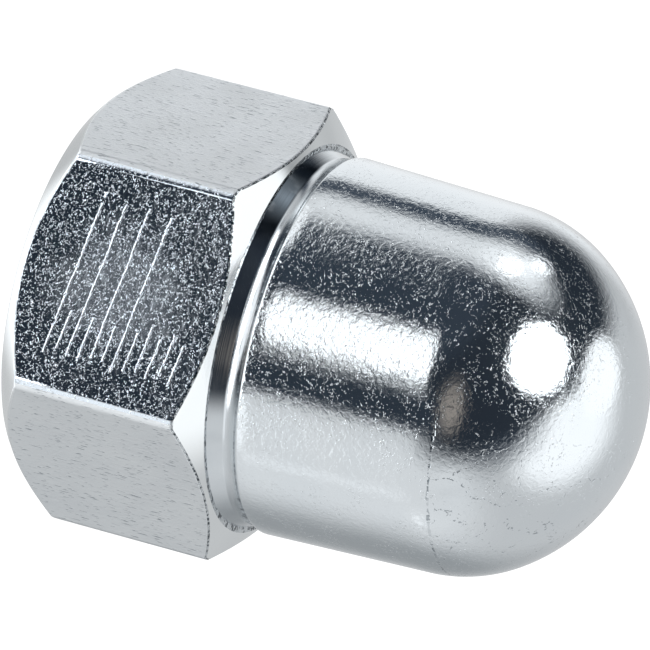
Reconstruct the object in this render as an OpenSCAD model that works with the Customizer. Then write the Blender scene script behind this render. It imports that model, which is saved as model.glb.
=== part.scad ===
/* [Hexagon] */
// Width across the flats, the spanner size
across_flats = 15; // [13:0.5:19]
// Depth turned off each of the six sharp corners
corner_cut = 0.11; // [0.05:0.01:0.3]
// Height of the hexagon, from the bearing face to the shoulder
hex_h = 8.2; // [5:0.1:12]

/* [Chamfers] */
// How far the edge of the bearing face stands in from the flats
face_inset = 0.45; // [0.1:0.05:1]
// Angle of the chamfer above the bearing face
face_chamfer_angle = 39.5; // [20:0.5:50]
// Radius that blends the bearing face into its chamfer
face_edge_r = 0.3; // [0.1:0.05:0.8]
// How far the edge of the shoulder on the dome side stands in from the flats
shoulder_inset = 0.2; // [0.05:0.05:0.4]
// Angle of the chamfer below the shoulder
shoulder_chamfer_angle = 31; // [20:0.5:50]

/* [Barrel and dome] */
// Diameter of the barrel where it leaves the groove
barrel_d = 14.15; // [12:0.05:14.4]
// Length of the barrel, from the shoulder to the seam where the dome starts
barrel_len = 7.8; // [4:0.1:20]
// Draft of the barrel, per side
barrel_draft = 2; // [0.5:0.1:3]
// Height of the dome above the barrel
dome_h = 5.9; // [4:0.1:8]
// Angle by which the dome turns in from the barrel's side at the seam
seam_angle = 2.5; // [1:0.1:5]
// Radius between the seam and the crown
dome_edge_r = 5.75; // [2:0.05:6.5]

/* [Neck] */
// Width of the turned groove between shoulder and barrel
neck_w = 1.15; // [0.4:0.05:2]
// Depth of the groove below the barrel
neck_depth = 0.18; // [0.05:0.01:0.4]
// Slope of the groove's wall below, from the shoulder down to its floor
neck_wall_angle = 22; // [15:1:60]
// Radius in the corner between that wall and the floor
neck_corner_r = 0.15; // [0.05:0.05:0.3]

/* [Thread] */
// Minor diameter of the M10 x 1 thread, which is the bore
bore_d = 8.92; // [5:0.01:9.5]
// Depth of the full bore, from the bearing face
bore_depth = 15.5; // [8:0.1:16]
// Point angle of the drill that made the blind end
drill_angle = 118; // [90:1:140]
// Diameter of the countersink at the mouth
mouth_d = 10.6; // [9.6:0.1:12]
// Full angle of the countersink
mouth_angle = 90; // [60:1:120]

/* [Hidden] */
$fn = 96;
// Largest angle between two points of an arc in a half section
arc_step = 4;
// How far a cutting shape runs past the surface it cuts
over = 1;

// Hexagon: its sharp form, and the three radii that it is turned to
sharp_d = across_flats / cos(30);
corner_r = sharp_d / 2 - corner_cut;
face_r = across_flats / 2 - face_inset;
shoulder_r = across_flats / 2 - shoulder_inset;

// Barrel: its side leans in by the draft, from the groove's upper edge to the seam
barrel_top = hex_h + barrel_len;
barrel_top_r = barrel_d / 2 - (barrel_len - neck_w) * tan(barrel_draft);

// Dome: an edge arc from the seam, then a crown arc that is centred on the axis
total_h = barrel_top + dome_h;
dome_start = barrel_draft + seam_angle;
edge_r = min(dome_edge_r, 0.97 * dome_h / (1 - sin(dome_start)), 0.97 * barrel_top_r);
edge_x = barrel_top_r - edge_r * cos(dome_start);
edge_z = barrel_top - edge_r * sin(dome_start);
edge_drop = total_h - edge_z;
crown_r = (pow(edge_x, 2) + pow(edge_drop, 2) - pow(edge_r, 2)) / (2 * (edge_drop - edge_r));
crown_z = total_h - crown_r;
crown_start = atan2(edge_z - crown_z, edge_x);

// Groove: a straight wall from the shoulder, a round corner, then an arc up to the barrel's edge
floor_r = barrel_d / 2 - neck_depth;
corner_run = neck_corner_r * (1 - cos(neck_wall_angle));
corner_rise = neck_corner_r * sin(neck_wall_angle);
wall_room = shoulder_r - 0.05 - floor_r - corner_run;
wall_run = max(0.02, min(wall_room, (0.48 * neck_w - corner_rise) * tan(neck_wall_angle)));
floor_z = hex_h + wall_run / tan(neck_wall_angle) + corner_rise;
groove_rise = hex_h + neck_w - floor_z;
groove_r = (pow(groove_rise, 2) + pow(neck_depth, 2)) / (2 * neck_depth);
groove_angle = 2 * atan2(neck_depth, groove_rise);

// Countersink and drill point
mouth_depth = (mouth_d - bore_d) / 2 / tan(mouth_angle / 2);
point_h = bore_d / 2 / tan(drill_angle / 2);

// Points of an arc about [x, z], from one angle to another
function arc(x, z, r, from, to) =
    let (n = ceil(abs(to - from) / arc_step))
    [for (i = [0:n]) let (a = from + (to - from) * i / n) [x + r * cos(a), z + r * sin(a)]];

// Half section of the blank that the hexagon is cut from: its two ends are cones
module hexagon_blank_2d() {
    edge_run = face_edge_r * tan(face_chamfer_angle / 2);
    polygon(concat(
        [[0, 0]],
        arc(face_r - edge_run, face_edge_r, face_edge_r, -90, face_chamfer_angle - 90),
        [
            [corner_r, (corner_r - face_r) * tan(face_chamfer_angle)],
            [corner_r, hex_h - (corner_r - shoulder_r) * tan(shoulder_chamfer_angle)],
            [shoulder_r, hex_h],
            [0, hex_h],
        ]
    ));
}

// Half section of the neck, the barrel and the dome
module barrel_2d() {
    foot_r = floor_r + corner_run + wall_run;
    polygon(concat(
        [[0, hex_h - over], [foot_r, hex_h - over], [foot_r, hex_h]],
        arc(floor_r + neck_corner_r, floor_z, neck_corner_r, 180 + neck_wall_angle, 184),
        arc(floor_r + groove_r, floor_z, groove_r, 180, 180 - groove_angle),
        arc(edge_x, edge_z, edge_r, dome_start, crown_start),
        arc(0, crown_z, crown_r, crown_start, 90)
    ));
}

module axle_nut() {
    color("silver")
    difference() {
        union() {
            intersection() {
                cylinder(h = hex_h, d = sharp_d, $fn = 6);
                rotate_extrude()
                    hexagon_blank_2d();
            }
            rotate_extrude()
                barrel_2d();
        }
        // blind bore with its drill point
        translate([0, 0, -over])
            cylinder(h = bore_depth + over, d = bore_d);
        translate([0, 0, bore_depth])
            cylinder(h = point_h, d1 = bore_d, d2 = 0);
        // countersink
        translate([0, 0, -over])
            cylinder(h = mouth_depth + over, d1 = mouth_d + 2 * over * tan(mouth_angle / 2), d2 = bore_d);
    }
}

axle_nut();
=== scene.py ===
import math

import bpy
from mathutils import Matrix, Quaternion, Vector


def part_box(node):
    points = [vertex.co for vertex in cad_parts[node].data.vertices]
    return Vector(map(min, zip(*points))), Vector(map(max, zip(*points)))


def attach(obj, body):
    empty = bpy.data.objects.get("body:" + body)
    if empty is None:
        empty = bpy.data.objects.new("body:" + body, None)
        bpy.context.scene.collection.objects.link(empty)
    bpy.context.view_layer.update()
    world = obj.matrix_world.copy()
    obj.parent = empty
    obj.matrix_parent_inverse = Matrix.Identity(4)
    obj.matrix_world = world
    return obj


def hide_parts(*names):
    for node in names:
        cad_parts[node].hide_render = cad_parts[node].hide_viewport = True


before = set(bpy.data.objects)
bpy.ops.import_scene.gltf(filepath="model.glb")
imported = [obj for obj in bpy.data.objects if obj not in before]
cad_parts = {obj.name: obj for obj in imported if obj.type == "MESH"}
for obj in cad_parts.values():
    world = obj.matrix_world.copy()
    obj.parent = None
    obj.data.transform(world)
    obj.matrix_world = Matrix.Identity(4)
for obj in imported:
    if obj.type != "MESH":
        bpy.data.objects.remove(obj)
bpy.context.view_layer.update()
nutLow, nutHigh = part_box("axle_nut")
mm = 0.001
print("frame loaded")


viewpoint = {
    "aim": (-0.825, -0.026, 9.437),  # mm, close to the middle of the thread axis
    "azimuth": 1.837,  # degrees, 0 looks at the flat on -Y
    "elevation": 19.375,
    "distance": 327.25,  # mm
    "roll": 104.859,  # the dome points to the right and a little down
    "lens": 498.46,
    "sensor": 36,
}


# Azimuth 0 stands in front, on the -Y side, and 90 on +X
def towards(azimuth, elevation):
    around, up = math.radians(azimuth), math.radians(elevation)
    return Vector((math.sin(around) * math.cos(up), -math.cos(around) * math.cos(up), math.sin(up)))


def makeCamera(v):
    back = towards(v["azimuth"], v["elevation"])
    bpy.ops.object.camera_add()
    camera = bpy.context.object
    camera.name = "camera"
    camera.data.lens = v["lens"]
    camera.data.sensor_width = v["sensor"]
    camera.data.clip_start = 0.01
    camera.data.clip_end = 10
    camera.location = (Vector(v["aim"]) + back * v["distance"]) * mm
    camera.rotation_mode = "QUATERNION"
    turn = (-back).to_track_quat("-Z", "Y")
    camera.rotation_quaternion = turn @ Quaternion((0, 0, 1), math.radians(v["roll"]))
    bpy.context.scene.camera = camera


makeCamera(viewpoint)
print("camera placed")


# All sizes are in millimetres, from the bearing face at height 0
nut = {
    "acrossFlats": (nutHigh.y - nutLow.y) / mm,
    "cornerRadius": nutHigh.x / mm,
    "height": nutHigh.z / mm,
    "hexHeight": 8.2,
    "faceRadius": 7.05,
    "faceChamfer": 39.5,  # degrees above the bearing face
    "faceEdge": 0.3,
    "shoulderRadius": 7.3,
    "shoulderChamfer": 31,
    "neckWidth": 1.15,
    "neckDepth": 0.18,
    "neckWall": 22,
    "neckCorner": 0.15,
    "floorRise": 0.552,  # from the shoulder to the floor of the groove
    "barrelRadius": 7.075,
    "barrelLength": 7.8,  # from the shoulder to the seam
    "draft": 2,  # degrees per side
    "seamAngle": 2.5,  # how much the dome turns in at the seam
    "domeEdge": 5.75,
    "boreRadius": 4.46,
    "boreDepth": 15.5,
    "drillAngle": 118,
    "mouthRadius": 5.3,
    "mouthAngle": 90,
    "arcStep": 2.5,  # degrees between two rings of an arc
    "ringStep": 0.5,  # mm between two rings of a straight side
    "segments": 240,  # around the axis
    "edgeBreak": 0.07,
    "sharpAngle": 18,
    "smoothAngle": 8.2,
    "turnWeld": 0.002,  # joins the first and last profile of the turned blank
    "millTolerance": 0.001,
    "weld": 0.05,  # shorter edges, which milling leaves, are closed up
    "weldBelow": 0.1,  # but only at corners that lie further than this below the shoulder
    "weldOutside": 0.15,  # and further than this outside the bearing face
    "level": 0.01,  # a height within this of the shoulder is on it
    "rimRoom": 0.1,  # the rim of the shoulder lies outside the barrel less this
}
thread = {
    "pitch": 1.0,  # M10 x 1
    "rootRadius": 5.0,
    "innerRadius": 4.3,
    "rootFlat": 0.125,
    "flankAngle": 30,
    "start": -1.0,
    "turns": 14,
    "segments": 72,
}


def arcPoints(x, z, radius, start, end, step):
    count = max(2, math.ceil(abs(end - start) / step))
    angles = [math.radians(start + (end - start) * i / count) for i in range(count + 1)]
    return [(x + radius * math.cos(a), z + radius * math.sin(a)) for a in angles]


def sidePoints(start, end, step):
    length = math.dist(start, end)
    count = max(1, round(length / step))
    return [
        (start[0] + (end[0] - start[0]) * i / count, start[1] + (end[1] - start[1]) * i / count)
        for i in range(1, count)
    ]


def halfSection(n):
    step, ring = n["arcStep"], n["ringStep"]
    slope = math.tan(math.radians(n["drillAngle"] / 2))
    boreTop = n["boreDepth"] + n["boreRadius"] / slope
    mouthDepth = (n["mouthRadius"] - n["boreRadius"]) / math.tan(math.radians(n["mouthAngle"] / 2))
    faceAngle = math.radians(n["faceChamfer"])
    edgeRun = n["faceEdge"] * math.tan(faceAngle / 2)
    corner = n["cornerRadius"]
    lowCorner = (corner - n["faceRadius"]) * math.tan(faceAngle)
    topCorner = n["hexHeight"] - (corner - n["shoulderRadius"]) * math.tan(math.radians(n["shoulderChamfer"]))
    # neck: a steep wall and a round corner down to its floor, then an arc up to the barrel
    floorRadius = n["barrelRadius"] - n["neckDepth"]
    wallAngle, nose = math.radians(n["neckWall"]), n["neckCorner"]
    wallRun = (n["floorRise"] - nose * math.sin(wallAngle)) * math.tan(wallAngle)
    footRadius = floorRadius + nose * (1 - math.cos(wallAngle)) + wallRun
    floorZ = n["hexHeight"] + n["floorRise"]
    grooveRise = n["neckWidth"] - n["floorRise"]
    grooveRadius = (grooveRise**2 + n["neckDepth"] ** 2) / (2 * n["neckDepth"])
    grooveAngle = 2 * math.degrees(math.atan2(n["neckDepth"], grooveRise))
    barrelLow = (n["barrelRadius"], n["hexHeight"] + n["neckWidth"])
    # dome: an edge arc from the seam, then a crown arc centred on the axis
    draft = math.radians(n["draft"])
    seamZ = n["hexHeight"] + n["barrelLength"]
    seamRadius = n["barrelRadius"] - (n["barrelLength"] - n["neckWidth"]) * math.tan(draft)
    start = n["draft"] + n["seamAngle"]
    edge = n["domeEdge"]
    edgeX = seamRadius - edge * math.cos(math.radians(start))
    edgeZ = seamZ - edge * math.sin(math.radians(start))
    rise = n["height"] - edgeZ
    crown = (edgeX**2 + rise**2 - edge**2) / (2 * (rise - edge))
    crownZ = n["height"] - crown
    crownStart = math.degrees(math.atan2(edgeZ - crownZ, edgeX))
    points = [(0, boreTop)]
    points += sidePoints((0, boreTop), (n["boreRadius"], n["boreDepth"]), ring)
    points += [(n["boreRadius"], n["boreDepth"]), (n["boreRadius"], mouthDepth), (n["mouthRadius"], 0)]
    points += arcPoints(
        n["faceRadius"] - edgeRun, n["faceEdge"], n["faceEdge"], -90, n["faceChamfer"] - 90, 8
    )
    points += [(corner, lowCorner), (corner, topCorner), (n["shoulderRadius"], n["hexHeight"])]
    points += [(footRadius, n["hexHeight"])]
    points += arcPoints(floorRadius + nose, floorZ, nose, 180 + n["neckWall"], 180, 6)
    points += arcPoints(floorRadius + grooveRadius, floorZ, grooveRadius, 180, 180 - grooveAngle, 6)[1:]
    points += sidePoints(barrelLow, (seamRadius, seamZ), ring)
    points += arcPoints(edgeX, edgeZ, edge, start, crownStart, step)
    points += arcPoints(0, crownZ, crown, crownStart, 90, step)[1:]
    return points


def startPiece(name):
    piece = bpy.context.object
    piece.name = name
    piece.data.name = name
    bpy.ops.object.mode_set(mode="EDIT")
    return piece


def deselectAll():
    for item in bpy.context.selected_objects:
        item.select_set(False)


def drawChain(name, points):
    deselectAll()
    bpy.ops.mesh.primitive_plane_add(size=mm)
    piece = startPiece(name)
    bpy.ops.mesh.select_mode(type="VERT")
    bpy.ops.mesh.select_all(action="SELECT")
    bpy.ops.mesh.merge(type="CENTER")
    bpy.ops.transform.translate(value=(points[0][0] * mm, 0, points[0][1] * mm))
    for before, after in zip(points, points[1:]):
        step = ((after[0] - before[0]) * mm, 0, (after[1] - before[1]) * mm)
        bpy.ops.mesh.extrude_region_move(TRANSFORM_OT_translate={"value": step})
    return piece


def turnBlank(n):
    piece = drawChain("axleNutBody", halfSection(n))
    bpy.ops.mesh.select_all(action="SELECT")
    bpy.ops.mesh.spin(steps=n["segments"], angle=math.tau, center=(0, 0, 0), axis=(0, 0, 1))
    bpy.ops.mesh.select_all(action="SELECT")
    bpy.ops.mesh.remove_doubles(threshold=n["turnWeld"] * mm)
    bpy.ops.mesh.normals_make_consistent(inside=False)
    return piece


def millFlats(piece, n):
    for side in range(6):
        angle = math.radians(30 + 60 * side)
        normal = Vector((math.cos(angle), math.sin(angle), 0))
        bpy.ops.mesh.select_all(action="SELECT")
        bpy.ops.mesh.bisect(
            plane_co=normal * n["acrossFlats"] / 2 * mm, plane_no=normal, clear_outer=True, use_fill=True,
            threshold=n["millTolerance"] * mm,
        )
    bpy.ops.mesh.select_mode(type="VERT")
    # close up the slivers that milling leaves along the edges of the flats
    bpy.ops.object.mode_set(mode="OBJECT")
    for vertex in piece.data.vertices:
        place = vertex.co / mm
        low = place.z < n["hexHeight"] - n["weldBelow"]
        vertex.select = low and place.xy.length > n["faceRadius"] + n["weldOutside"]
    bpy.ops.object.mode_set(mode="EDIT")
    bpy.ops.mesh.remove_doubles(threshold=n["weld"] * mm)
    bpy.ops.mesh.select_all(action="SELECT")
    bpy.ops.mesh.normals_make_consistent(inside=False)


def breakEdges(piece, n):
    bpy.ops.mesh.select_mode(type="EDGE")
    bpy.ops.mesh.select_all(action="DESELECT")
    bpy.ops.mesh.edges_select_sharp(sharpness=math.radians(n["sharpAngle"]))
    bpy.ops.object.mode_set(mode="OBJECT")
    for edge in piece.data.edges:
        ends = [piece.data.vertices[i].co / mm for i in edge.vertices]
        # the rim of the shoulder stays sharp
        level = all(abs(end.z - n["hexHeight"]) < n["level"] for end in ends)
        if level and all(end.xy.length > n["barrelRadius"] - n["rimRoom"] for end in ends):
            edge.select = False
    bpy.ops.object.mode_set(mode="EDIT")
    bpy.ops.mesh.bevel(
        offset=n["edgeBreak"] * mm, segments=3, profile=0.5, affect="EDGES", clamp_overlap=True,
        loop_slide=False, offset_type="OFFSET",
    )


def makeThreadCutter(t):
    reach = t["rootRadius"] - t["innerRadius"]
    tip = t["rootFlat"] / 2
    foot = tip + reach * math.tan(math.radians(t["flankAngle"]))
    inner, root, z = t["innerRadius"], t["rootRadius"], t["start"]
    points = [(inner, z - foot), (root, z - tip), (root, z + tip), (inner, z + foot)]
    cutter = drawChain("threadCutter", points)
    bpy.ops.mesh.select_all(action="SELECT")
    bpy.ops.mesh.edge_face_add()
    bpy.ops.object.mode_set(mode="OBJECT")
    screw = cutter.modifiers.new("Screw", "SCREW")
    screw.screw_offset = t["pitch"] * mm
    screw.iterations = t["turns"]
    screw.steps = screw.render_steps = t["segments"]
    screw.use_merge_vertices = False
    bpy.ops.object.modifier_apply(modifier=screw.name)
    bpy.ops.object.mode_set(mode="EDIT")
    bpy.ops.mesh.select_mode(type="EDGE")
    bpy.ops.mesh.select_all(action="DESELECT")
    bpy.ops.mesh.select_non_manifold()
    bpy.ops.mesh.edge_face_add()
    bpy.ops.mesh.select_all(action="SELECT")
    bpy.ops.mesh.normals_make_consistent(inside=False)
    bpy.ops.object.mode_set(mode="OBJECT")
    return cutter


def cutThread(piece, cutter):
    cut = piece.modifiers.new("Thread", "BOOLEAN")
    cut.operation = "DIFFERENCE"
    cut.solver = "EXACT"
    cut.object = cutter
    bpy.context.view_layer.objects.active = piece
    bpy.ops.object.modifier_apply(modifier=cut.name)
    bpy.data.objects.remove(cutter)


def addNode(tree, kind, settings=None, inputs=None):
    node = tree.nodes.new("ShaderNode" + kind)
    for name, value in (settings or {}).items():
        setattr(node, name, value)
    for name, value in (inputs or {}).items():
        if isinstance(value, bpy.types.NodeSocket):
            tree.links.new(value, node.inputs[name])
        else:
            node.inputs[name].default_value = value
    return node


def linear(colour):
    channels = [int(colour[i : i + 2], 16) / 255 for i in (1, 3, 5)]
    return [c / 12.92 if c <= 0.04045 else ((c + 0.055) / 1.055) ** 2.4 for c in channels] + [1]


def startMaterial(name):
    material = bpy.data.materials.new(name)
    material.use_nodes = True
    tree = material.node_tree
    tree.nodes.clear()
    shader = addNode(tree, "BsdfPrincipled", None, {"Metallic": 1.0})
    addNode(tree, "OutputMaterial", None, {"Surface": shader.outputs[0]})
    place = addNode(tree, "TexCoord")
    point = addNode(tree, "Mapping", None, {"Vector": place.outputs["Object"], "Scale": (1 / mm,) * 3})
    return material, tree, shader, point.outputs[0]  # points are in millimetres


def addBump(tree, height, depth, below=None):
    bump = addNode(tree, "Bump", None, {"Height": height, "Strength": 1.0, "Distance": depth * mm})
    if below:
        tree.links.new(below, bump.inputs["Normal"])
    return bump.outputs[0]


# Noise runs from 0 to 1 and is mostly near 0.5, so a ramp between two values there picks a share of spots
def addNoise(tree, point, size, detail=2.0, distortion=0.0):
    noise = addNode(tree, "TexNoise", None, {
        "Vector": point, "Scale": 1 / size, "Detail": detail, "Distortion": distortion,
    })
    return noise.outputs[0]


def addRamp(tree, value, low, high, start=0.0, end=1.0):
    ramp = addNode(tree, "MapRange", {"interpolation_type": "SMOOTHSTEP"}, {
        "Value": value, "From Min": low, "From Max": high, "To Min": start, "To Max": end,
    })
    return ramp.outputs[0]


def addMath(tree, operation, *values):
    return addNode(tree, "Math", {"operation": operation}, dict(enumerate(values))).outputs[0]


def addPeel(tree, point, look, below=None):
    height = addNoise(tree, point, look["peelSize"], look["peelDetail"], 0.6)
    return addBump(tree, height, look["peelHeight"], below)


# Crystals of the zinc: small worm-shaped mounds that stand out of the smooth coat
def addCrystals(tree, point, look, below):
    noise = addNoise(tree, point, look["crystalSize"], 1.0, look["crystalTwist"])
    height = addRamp(tree, noise, look["crystalShare"], look["crystalShare"] + look["crystalFlank"])
    patches = addRamp(tree, addNoise(tree, point, look["patchSize"]), 0.4, 0.62, look["patchFloor"], 1.0)
    return addBump(tree, addMath(tree, "MULTIPLY", height, patches), look["crystalHeight"], below)


def setFinish(tree, shader, point, look):
    cloud = addNoise(tree, point, look["cloudSize"], 3.0)
    colour = addNode(tree, "Mix", {"data_type": "RGBA"}, {"Factor": cloud})
    colour.inputs[6].default_value = linear(look["colours"][0])
    colour.inputs[7].default_value = linear(look["colours"][1])
    tree.links.new(colour.outputs[2], shader.inputs["Base Color"])
    tree.links.new(addRamp(tree, cloud, 0.3, 0.7, *look["roughness"]), shader.inputs["Roughness"])
    return colour.outputs[2]


def layTone(tree, colour, share, tone):
    toned = addNode(tree, "Mix", {"data_type": "RGBA"}, {"Factor": share})
    tree.links.new(colour, toned.inputs[6])
    toned.inputs[7].default_value = linear(tone)
    return toned.outputs[2]


# Barrel and dome: cold-formed steel under bright zinc. The coat follows the formed surface as a fine
# orange peel, and small crystals of zinc stand out of it, which glint white in the dark reflections.
platedSkin = {
    "colours": ("#e2e8ec", "#eaeef0"),
    "cloudSize": 3.0,
    "roughness": (0.07, 0.11),
    "peelSize": 0.2,
    "peelDetail": 4.0,
    "peelHeight": 0.009,
    "crystalSize": 0.105,
    "crystalTwist": 1.2,
    "crystalShare": 0.63,
    "crystalFlank": 0.1,
    "crystalHeight": 0.0065,
    "patchSize": 1.3,
    "patchFloor": 0.15,
    "seam": 16.7,
    "pitSize": 0.17,
    "pitDepth": 0.012,
    "wornReach": (0.0, 2.5),  # the coat is worn from here on, along X
    "ringWidth": (0.145, 0.1),
    "ringStray": 0.16,
    "crazeSize": 1.9,
    "crazeWidth": (0.016, 0.004),
    "crazeBend": 0.6,
    "crazeFade": 0.3,
    "pitColour": "#868e94",
}
# Front and back flats: pressed in the die and bright, with a dull middle where spanners rubbed,
# and straight light scratches that run along them. Sizes are in millimetres, angles are slopes.
pressedFlat = {
    "colours": ("#d4dde6", "#dfe6ec"),
    "cloudSize": 2.0,
    "roughness": (0.045, 0.06),
    "hazeRoughness": 0.062,
    "hazeHeight": 4.1,
    "hazeReach": (1.2, 3.4),
    "hazeStray": 2.0,
    "peelSize": 0.4,
    "peelDetail": 2.0,
    "peelHeight": 0.004,
    "crystalSize": 0.095,
    "crystalTwist": 1.3,
    "crystalShare": 0.605,
    "crystalFlank": 0.1,
    "crystalHeight": 0.006,
    "patchSize": 0.9,
    "patchFloor": 0.25,
    "scratchSlant": 0.121,
    "scratchFirst": 2.35,
    # long scratches, then short ones: spacing, left end, right end and depth of each set
    "scratchSets": ((0.9, -2.2, 3.6, 3.3), (0.45, 2.0, 3.7, 5.2)),
    "scratchWidth": 0.05,
    "scratchWander": 0.1,
    "scratchTremble": 0.07,
    "scratchDepth": 0.014,
    "scratchStray": 1.6,  # how unevenly the ends of a set lie
    "scratchFades": (0.3, 0.15, 0.1),  # at the left end, the right end and the outer scratches
}
# The other flats: drawn through the die along the axis, which leaves fine streaks and short dark pits
# that the zinc didn't fill. They read as even, pale grey satin.
brushedFlat = {
    "colours": ("#eaeef1", "#f1f4f5"),
    "cloudSize": 2.0,
    "roughness": (0.28, 0.36),
    "streakSize": 0.055,
    "streakLength": 7,
    "streakHeight": 0.009,
    "pitShare": 0.635,
    "pitEdge": 0.06,
    "pitColour": "#a3aaaf",
    "peelSize": 0.12,
    "peelDetail": 3.0,
    "peelHeight": 0.008,
}
# Chamfers, bearing face and bore: turned on a lathe, so faint rings run round the axis. Nearly mirror.
turnedFace = {
    "colours": ("#e6eaec", "#ecefef"),
    "cloudSize": 2.0,
    "roughness": (0.08, 0.14),
    "ringSize": 0.07,
    "ringHeight": 0.0008,
}
# Neck groove: deeper rings than the turned faces, and painted shade, a dark band laid into the colour over
# part of its wall and floor.
neckGroove = {
    "colours": ("#cfd5d9", "#dfe3e6"),
    "cloudSize": 0.8,
    "roughness": (0.1, 0.18),
    "ringSize": 0.06,
    "ringHeight": 0.003,
    # painted shade in the groove: its colour, the height it fades out below, and where it starts and ends
    # along X
    "paintedShadeColour": "#575f66",
    "paintedShadeTop": 8.85,
    "paintedShadeStart": -6.35,
    "paintedShadeEnd": -3.6,
    "paintedShadeFades": (0.12, 0.35, 1.2),  # at the top, the start and the end
}
# Rims of the shoulder and the level ring beside the groove: lumpy metal with dark pits.
burredEdge = {
    "colours": ("#c9cfd3", "#dde1e3"),
    "cloudSize": 0.4,
    "roughness": (0.12, 0.2),
    "peelSize": 0.25,
    "peelDetail": 2.0,
    "peelHeight": 0.05,
    "crystalSize": 0.09,
    "crystalTwist": 1.0,
    "crystalShare": 0.45,
    "crystalFlank": 0.12,
    "crystalHeight": 0.035,
    "patchSize": 0.8,
    "patchFloor": 0.4,
    "pitSize": 0.15,
    "pitShare": 0.53,
    "pitEdge": 0.05,
    "pitColour": "#51585e",
}


# Pits in a ring at the seam and broken hair cracks beyond it, both only where the coat is worn
def addWear(tree, point, look, colour, below):
    split = addNode(tree, "SeparateXYZ", None, {0: point})
    x, z = split.outputs[0], split.outputs[2]
    worn = addRamp(tree, x, *look["wornReach"])
    apart = addMath(tree, "ABSOLUTE", addMath(tree, "SUBTRACT", z, look["seam"]))
    strayed = addMath(tree, "MULTIPLY_ADD", addNoise(tree, point, 0.5), look["ringStray"], apart)
    ring = addMath(tree, "MULTIPLY", addRamp(tree, strayed, *look["ringWidth"]), addRamp(
        tree, addNoise(tree, point, 0.9), 0.4, 0.55, 0.25, 1.0
    ))
    pits = addMath(tree, "MULTIPLY", ring, addRamp(tree, addNoise(tree, point, look["pitSize"]), 0.4, 0.5))
    bent = addNode(tree, "TexNoise", None, {"Vector": point, "Scale": 2.0, "Detail": 2.0})
    moved = addNode(tree, "VectorMath", {"operation": "MULTIPLY_ADD"}, {
        0: bent.outputs["Color"], 1: (look["crazeBend"],) * 3, 2: point,
    })
    cells = addNode(tree, "TexVoronoi", {"feature": "DISTANCE_TO_EDGE"}, {
        "Vector": moved.outputs[0], "Scale": 1 / look["crazeSize"],
    })
    cracks = addMath(tree, "MULTIPLY", addRamp(tree, cells.outputs[0], *look["crazeWidth"]), addRamp(
        tree, addNoise(tree, point, 0.14), 0.52, 0.6
    ))
    beyond = addRamp(tree, z, look["seam"], look["seam"] + look["crazeFade"], 0.0, 0.6)
    cracks = addMath(tree, "MULTIPLY", cracks, beyond)
    marks = addMath(tree, "MULTIPLY", addMath(tree, "MAXIMUM", pits, cracks), worn)
    pitted = layTone(tree, colour, marks, look["pitColour"])
    return pitted, addBump(tree, marks, -look["pitDepth"], below)


def makePlatedSkin(look):
    material, tree, shader, point = startMaterial("zinc_plated_skin")
    colour = setFinish(tree, shader, point, look)
    normal = addCrystals(tree, point, look, addPeel(tree, point, look))
    pitted, normal = addWear(tree, point, look, colour, normal)
    tree.links.new(pitted, shader.inputs["Base Color"])
    tree.links.new(normal, shader.inputs["Normal"])
    return material


def makeBurredEdge(look):
    material, tree, shader, point = startMaterial("zinc_plated_burred_edge")
    colour = setFinish(tree, shader, point, look)
    noise = addNoise(tree, point, look["pitSize"])
    pits = addRamp(tree, noise, look["pitShare"], look["pitShare"] + look["pitEdge"])
    tree.links.new(layTone(tree, colour, pits, look["pitColour"]), shader.inputs["Base Color"])
    normal = addCrystals(tree, point, look, addPeel(tree, point, look))
    tree.links.new(normal, shader.inputs["Normal"])
    return material


def addScratches(tree, point, look, below):
    split = addNode(tree, "SeparateXYZ", None, {0: point})
    x, z = split.outputs[0], split.outputs[2]
    wander = addNoise(tree, point, 1.5, 1.0)
    across = addMath(tree, "MULTIPLY_ADD", x, look["scratchSlant"], z)
    across = addMath(tree, "MULTIPLY_ADD", wander, look["scratchWander"], across)
    across = addMath(tree, "MULTIPLY_ADD", addNoise(tree, point, 0.13), look["scratchTremble"], across)
    first = look["scratchFirst"] + (look["scratchWander"] + look["scratchTremble"]) / 2
    ragged = addMath(tree, "MULTIPLY_ADD", addNoise(tree, point, 0.5), look["scratchStray"], x)
    leftFade, rightFade, outerFade = look["scratchFades"]
    total = None
    for spacing, left, right, top in look["scratchSets"]:
        offset = addMath(tree, "SUBTRACT", across, first)
        apart = addMath(tree, "PINGPONG", offset, spacing / 2)
        line = addRamp(tree, apart, look["scratchWidth"], 0.0)
        line = addMath(tree, "MULTIPLY", line, addRamp(tree, ragged, left, left + leftFade))
        line = addMath(tree, "MULTIPLY", line, addRamp(tree, ragged, right, right - rightFade))
        line = addMath(tree, "MULTIPLY", line, addRamp(tree, offset, -2 * outerFade, -outerFade))
        line = addMath(tree, "MULTIPLY", line, addRamp(tree, offset, top, top - outerFade))
        total = addMath(tree, "MAXIMUM", total, line) if total else line
    broken = addRamp(tree, addNoise(tree, point, 0.12), 0.36, 0.54, 0.1, 1.0)
    return addBump(tree, addMath(tree, "MULTIPLY", total, broken), look["scratchDepth"], below)


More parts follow.
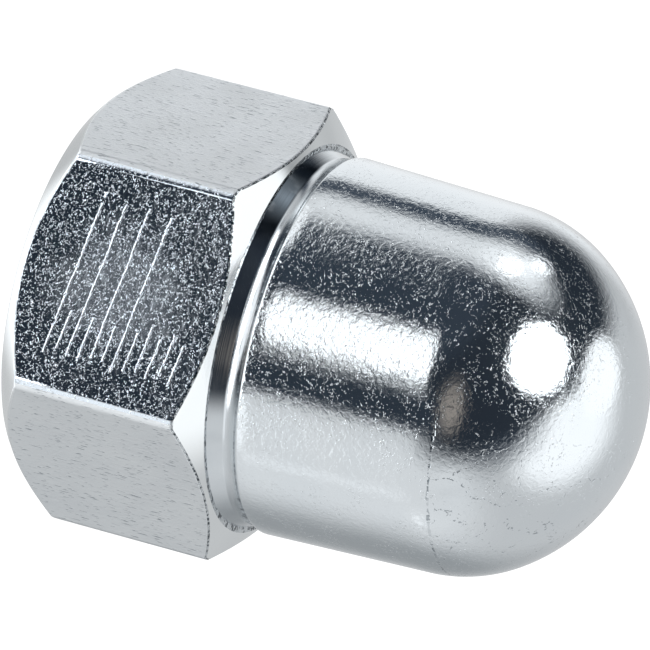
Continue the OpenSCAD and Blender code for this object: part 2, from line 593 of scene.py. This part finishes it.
def makePressedFlat(look):
    material, tree, shader, point = startMaterial("zinc_plated_pressed_flat")
    setFinish(tree, shader, point, look)
    # haze over the middle of the flat
    away = addNode(tree, "VectorMath", {"operation": "SUBTRACT"}, {0: point, 1: (0, 0, look["hazeHeight"])})
    flatAway = addNode(tree, "VectorMath", {"operation": "MULTIPLY"}, {0: away.outputs[0], 1: (1, 0, 1)})
    reach = addNode(tree, "VectorMath", {"operation": "LENGTH"}, {0: flatAway.outputs[0]})
    stray = addNoise(tree, point, 0.9)
    ragged = addMath(tree, "MULTIPLY_ADD", stray, look["hazeStray"], reach.outputs["Value"])
    low, high = (edge + look["hazeStray"] / 2 for edge in look["hazeReach"])
    haze = addRamp(tree, ragged, high, low, 0.0, look["hazeRoughness"])
    rough = shader.inputs["Roughness"].links[0].from_socket
    tree.links.new(addMath(tree, "ADD", rough, haze), shader.inputs["Roughness"])
    normal = addCrystals(tree, point, look, addPeel(tree, point, look))
    tree.links.new(addScratches(tree, point, look, normal), shader.inputs["Normal"])
    return material


def makeBrushedFlat(look):
    material, tree, shader, point = startMaterial("zinc_plated_brushed_flat")
    colour = setFinish(tree, shader, point, look)
    along = addNode(tree, "Mapping", None, {"Vector": point, "Scale": (1, 1, 1 / look["streakLength"])})
    streaks = addNoise(tree, along.outputs[0], look["streakSize"], 1.5)
    pits = addRamp(tree, streaks, look["pitShare"], look["pitShare"] + look["pitEdge"])
    tree.links.new(layTone(tree, colour, pits, look["pitColour"]), shader.inputs["Base Color"])
    normal = addPeel(tree, point, look, addBump(tree, streaks, look["streakHeight"]))
    tree.links.new(normal, shader.inputs["Normal"])
    return material


def addRings(tree, point, look):
    around = addNode(tree, "VectorMath", {"operation": "MULTIPLY"}, {0: point, 1: (1, 1, 0)})
    radius = addNode(tree, "VectorMath", {"operation": "LENGTH"}, {0: around.outputs[0]})
    split = addNode(tree, "SeparateXYZ", None, {0: point})
    rings = addNode(tree, "CombineXYZ", None, {0: radius.outputs["Value"], 1: split.outputs[2], 2: 0.0})
    return addBump(tree, addNoise(tree, rings.outputs[0], look["ringSize"]), look["ringHeight"])


def makeTurnedFace(look):
    material, tree, shader, point = startMaterial("zinc_plated_turned_face")
    setFinish(tree, shader, point, look)
    tree.links.new(addRings(tree, point, look), shader.inputs["Normal"])
    return material


def makeNeckGroove(look):
    material, tree, shader, point = startMaterial("zinc_plated_neck_groove")
    colour = setFinish(tree, shader, point, look)
    split = addNode(tree, "SeparateXYZ", None, {0: point})
    x, z = split.outputs[0], split.outputs[2]
    # painted shade: the groove's colour is darkened over part of its wall and floor, fading at the top and at
    # both ends along X
    topFade, startFade, endFade = look["paintedShadeFades"]
    low = addRamp(tree, z, look["paintedShadeTop"], look["paintedShadeTop"] - topFade)
    near = addMath(
        tree, "MULTIPLY", addRamp(tree, x, look["paintedShadeEnd"] + endFade, look["paintedShadeEnd"]),
        addRamp(tree, x, look["paintedShadeStart"], look["paintedShadeStart"] + startFade),
    )
    cloud = addRamp(tree, addNoise(tree, point, 0.7), 0.3, 0.5, 0.85, 1.0)
    paintedShade = addMath(tree, "MULTIPLY", addMath(tree, "MULTIPLY", low, near), cloud)
    tree.links.new(layTone(tree, colour, paintedShade, look["paintedShadeColour"]), shader.inputs["Base Color"])
    tree.links.new(addRings(tree, point, look), shader.inputs["Normal"])
    return material


# Where one finish ends and the next begins. From and slopes are the upward or outward part of a normal.
surfaces = {
    "drillRoom": 3,  # mm above the bore's full depth, past the drill point
    "levelFrom": 0.95,
    "rimSlopes": (0.3, 0.78),
    "flatFrom": 0.96,
    "cornerBand": 0.12,  # mm, the broken edges between two flats
}


def layFinishes(piece, n, f):
    finishes = [
        makePlatedSkin(platedSkin), makePressedFlat(pressedFlat), makeBrushedFlat(brushedFlat),
        makeTurnedFace(turnedFace), makeBurredEdge(burredEdge), makeNeckGroove(neckGroove),
    ]
    for finish in finishes:
        piece.data.materials.append(finish)
    skin, pressed, brushed, turned, burred, groove = range(6)
    boreTop = n["boreDepth"] + f["drillRoom"]
    steepest, flattest = f["rimSlopes"]
    for face in piece.data.polygons:
        centre = face.center / mm
        radius = math.hypot(centre.x, centre.y)
        azimuth = math.degrees(math.atan2(centre.x, -centre.y))
        side = round(azimuth / 60)
        outward = towards(60 * side, 0)
        high = centre.z > n["hexHeight"] / 2 and radius > n["shoulderRadius"]
        if radius < n["mouthRadius"] and centre.z < boreTop:
            face.material_index = turned
        elif centre.z > n["hexHeight"] + n["neckWidth"]:
            face.material_index = skin
        elif centre.z > n["hexHeight"] - n["level"] and radius < n["shoulderRadius"]:
            face.material_index = burred if face.normal.z > f["levelFrom"] else groove
        elif high and steepest < face.normal.z < flattest:
            face.material_index = burred
        elif face.normal.dot(outward) > f["flatFrom"] or radius > n["cornerRadius"] - f["cornerBand"]:
            face.material_index = pressed if side % 3 == 0 else brushed
        else:
            face.material_index = turned


body = turnBlank(nut)
millFlats(body, nut)
breakEdges(body, nut)
bpy.ops.object.mode_set(mode="OBJECT")
print("nut turned and milled")
cutThread(body, makeThreadCutter(thread))
print("thread cut")
deselectAll()
body.select_set(True)
bpy.context.view_layer.objects.active = body
bpy.ops.object.shade_smooth_by_angle(angle=math.radians(nut["smoothAngle"]))
weighted = body.modifiers.new("WeightedNormal", "WEIGHTED_NORMAL")
weighted.keep_sharp = True
bpy.ops.object.modifier_apply(modifier=weighted.name)
layFinishes(body, nut, surfaces)
print("finishes laid")

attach(body, "root")
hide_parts("axle_nut")


# Soft lights and dark gaps of the studio, from the back layer to the front one.
# Each is an ellipse on the sky.
studio = {
    "whiteTable": {"azimuth": 72, "elevation": -4, "width": 42, "height": 32, "soft": 0.35, "level": 0.79},
    "topWhite": {"azimuth": 110, "elevation": 78, "width": 34, "height": 24, "soft": 0.35, "level": 1.18},
    "backGap": {"azimuth": 142, "elevation": -12, "width": 22, "height": 18, "soft": 0.65, "level": 0.36,
                "tint": (0.96, 1.0, 1.03)},
    "leftSheet": {"azimuth": -140, "elevation": -18, "width": 26, "height": 20, "soft": 0.4, "level": 1.0},
    "roomEdge": {"azimuth": 21, "elevation": 42, "width": 27, "height": 29, "soft": 0.45, "level": 0.05},
    "darkRoom": {"azimuth": -46, "elevation": 37, "width": 82, "height": 43, "soft": 0.1, "level": 0.03},
    "lowRoom": {"azimuth": -45, "elevation": -12, "width": 34, "height": 26, "soft": 0.25, "level": 0.05},
    "frontGap": {"azimuth": -2, "elevation": -34, "width": 34, "height": 18, "soft": 0.15, "level": 0.03},
    "whiteFloor": {"azimuth": -20, "elevation": -86, "width": 42, "height": 42, "soft": 0.1, "level": 1.3},
    "rightGap": {"azimuth": 25, "elevation": -12, "width": 11, "height": 24, "soft": 0.4, "level": 0.04},
    "leftGap": {"azimuth": -107, "elevation": -12, "width": 7.5, "height": 24, "soft": 0.4, "level": 0.07},
    "backSheet": {"azimuth": -143, "elevation": 60, "width": 14, "height": 18, "soft": 0.15, "level": 1.25},
    "roundBox": {"azimuth": -48, "elevation": 57, "width": 19, "height": 17, "soft": 0.12, "level": 4.0},
    "sideBox": {"azimuth": -86, "elevation": 6, "width": 14, "height": 25, "soft": 0.55, "level": 1.05},
    "windowLeft": {"azimuth": -99, "elevation": 17, "width": 5.5, "height": 5, "soft": 0.6, "level": 1.8},
    "windowRight": {"azimuth": -84, "elevation": 8, "width": 6, "height": 5.5, "soft": 0.6, "level": 2.2},
    "leftStrip": {"azimuth": -68, "elevation": -23, "width": 16, "height": 4.2, "soft": 0.2, "level": 1.15},
    "rightStrip": {"azimuth": 60, "elevation": -23, "width": 16, "height": 4.2, "soft": 0.2, "level": 1.15},
    "glintLeft": {"azimuth": -42, "elevation": -34, "width": 20, "height": 7, "soft": 0.15, "level": 4.5},
    "glintMiddle": {"azimuth": -4, "elevation": -34, "width": 20, "height": 7, "soft": 0.15, "level": 4.5},
    "glintRight": {"azimuth": 32, "elevation": -34, "width": 18, "height": 7, "soft": 0.15, "level": 4.5},
    "lowBox": {"azimuth": -8, "elevation": -14, "width": 15, "height": 4.8, "soft": 0.32, "level": 1.7},
    "warmPost": {"azimuth": 17, "elevation": 13, "width": 13, "height": 7, "soft": 0.8, "level": 0.3,
                 "tint": (1.12, 1.0, 0.9)},
}
patchDepth = 1.6  # how far a patch reaches through the sky's sphere: soft ones leave a faint ghost opposite
tentLevel = 0.62
paleTint = (0.985, 1.0, 1.015)
darkTint = (0.74, 1.0, 1.4)


def tinted(level):
    blend = min(1, level / tentLevel)
    return [level * (d + (p - d) * blend) for d, p in zip(darkTint, paleTint)] + [1]


def makeWorld(patches):
    world = bpy.data.worlds.new("studio")
    bpy.context.scene.world = world
    world.use_nodes = True
    tree = world.node_tree
    tree.nodes.clear()
    place = addNode(tree, "TexCoord")
    colour = addNode(tree, "RGB")
    colour.outputs[0].default_value = tinted(tentLevel)
    sky = colour.outputs[0]
    for name, p in patches.items():
        azimuth, elevation = math.radians(p["azimuth"]), math.radians(p["elevation"])
        chord = [2 * math.sin(math.radians(p[size] / 2)) for size in ("width", "height")]
        local = addNode(tree, "Mapping", {"vector_type": "TEXTURE", "label": name}, {
            "Vector": place.outputs["Generated"],
            "Location": towards(p["azimuth"], p["elevation"]),
            "Rotation": (0, -elevation, azimuth - math.pi / 2),
            "Scale": (patchDepth, *chord),
        })
        reach = addNode(tree, "VectorMath", {"operation": "LENGTH"}, {0: local.outputs[0]})
        mask = addNode(tree, "MapRange", {"interpolation_type": "SMOOTHSTEP"}, {
            "Value": reach.outputs["Value"],
            "From Min": 1 + p["soft"],
            "From Max": 1 - p["soft"],
        })
        layer = addNode(tree, "Mix", {"data_type": "RGBA"}, {"Factor": mask.outputs[0]})
        tree.links.new(sky, layer.inputs[6])
        tint = p.get("tint")
        layer.inputs[7].default_value = [p["level"] * c for c in tint] + [1] if tint else tinted(p["level"])
        sky = layer.outputs[2]
    path = addNode(tree, "LightPath")
    white = addNode(tree, "Mix", {"data_type": "RGBA"}, {"Factor": path.outputs["Is Camera Ray"]})
    tree.links.new(sky, white.inputs[6])
    white.inputs[7].default_value = (1, 1, 1, 1)
    shade = addNode(tree, "Background", None, {"Color": white.outputs[2]})
    addNode(tree, "OutputWorld", None, {"Surface": shade.outputs[0]})


makeWorld(studio)
print("studio lit")


floorSize = 3  # m
floorGrey = 0.2


def makeFloor():
    deselectAll()
    bpy.ops.mesh.primitive_plane_add(size=floorSize)
    floor = bpy.context.object
    floor.name = "floor"
    floor.visible_glossy = False
    paper = bpy.data.materials.new("white_paper")
    paper.use_nodes = True
    tree = paper.node_tree
    tree.nodes.clear()
    side = addNode(tree, "NewGeometry")
    path = addNode(tree, "LightPath")
    diffuse = addNode(tree, "BsdfDiffuse", None, {"Color": (floorGrey, floorGrey, floorGrey, 1)})
    glow = addNode(tree, "Emission", None, {"Strength": path.outputs["Is Camera Ray"]})
    both = addNode(tree, "AddShader", None, {0: diffuse.outputs[0], 1: glow.outputs[0]})
    clear = addNode(tree, "BsdfTransparent")
    oneSided = addNode(tree, "MixShader", None, {
        0: side.outputs["Backfacing"], 1: both.outputs[0], 2: clear.outputs[0],
    })
    addNode(tree, "OutputMaterial", None, {"Surface": oneSided.outputs[0]})
    floor.data.materials.append(paper)


makeFloor()
bpy.context.scene.view_settings.view_transform = "Standard"
